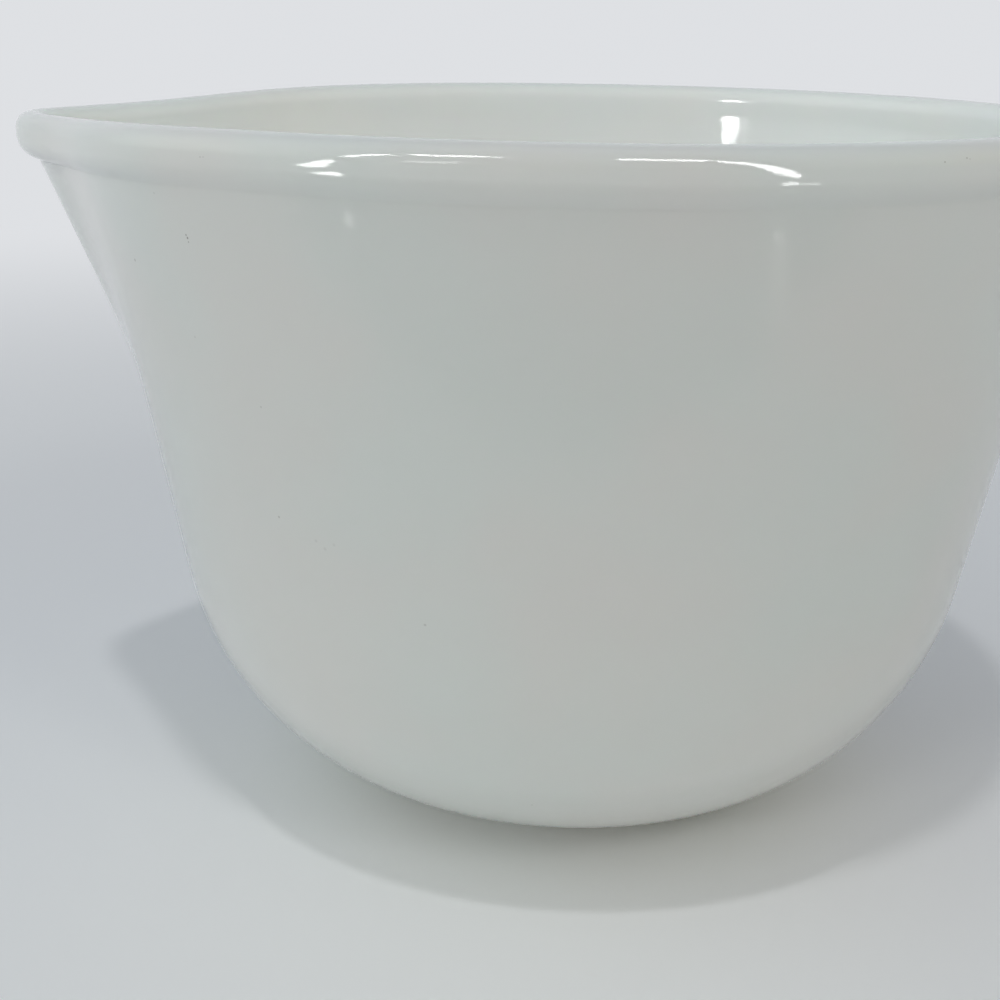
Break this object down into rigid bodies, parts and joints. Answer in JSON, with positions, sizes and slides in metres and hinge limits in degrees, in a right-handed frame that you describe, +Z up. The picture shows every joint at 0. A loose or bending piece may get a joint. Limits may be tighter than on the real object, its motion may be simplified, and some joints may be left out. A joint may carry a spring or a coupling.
{
  "type": "batter bowl",
  "caption": "Deep one-piece glass bowl with a rounded rim band, a V-shaped pouring spout and a low ring foot.",
  "frame": {"origin": "on the bowl's axis, in the plane that the foot stands on", "axes": "+Z up along the bowl's axis, spout pointing to -X, mirror plane Y = 0"},
  "size_m": [0.1795, 0.165, 0.1185],
  "materials": {
    "opal_glass": "glossy, fire-polished opal white, nearly opaque"
  },
  "bodies": {
    "root": {"glass_bowl": "opal_glass"}
  },
  "joints": []
}
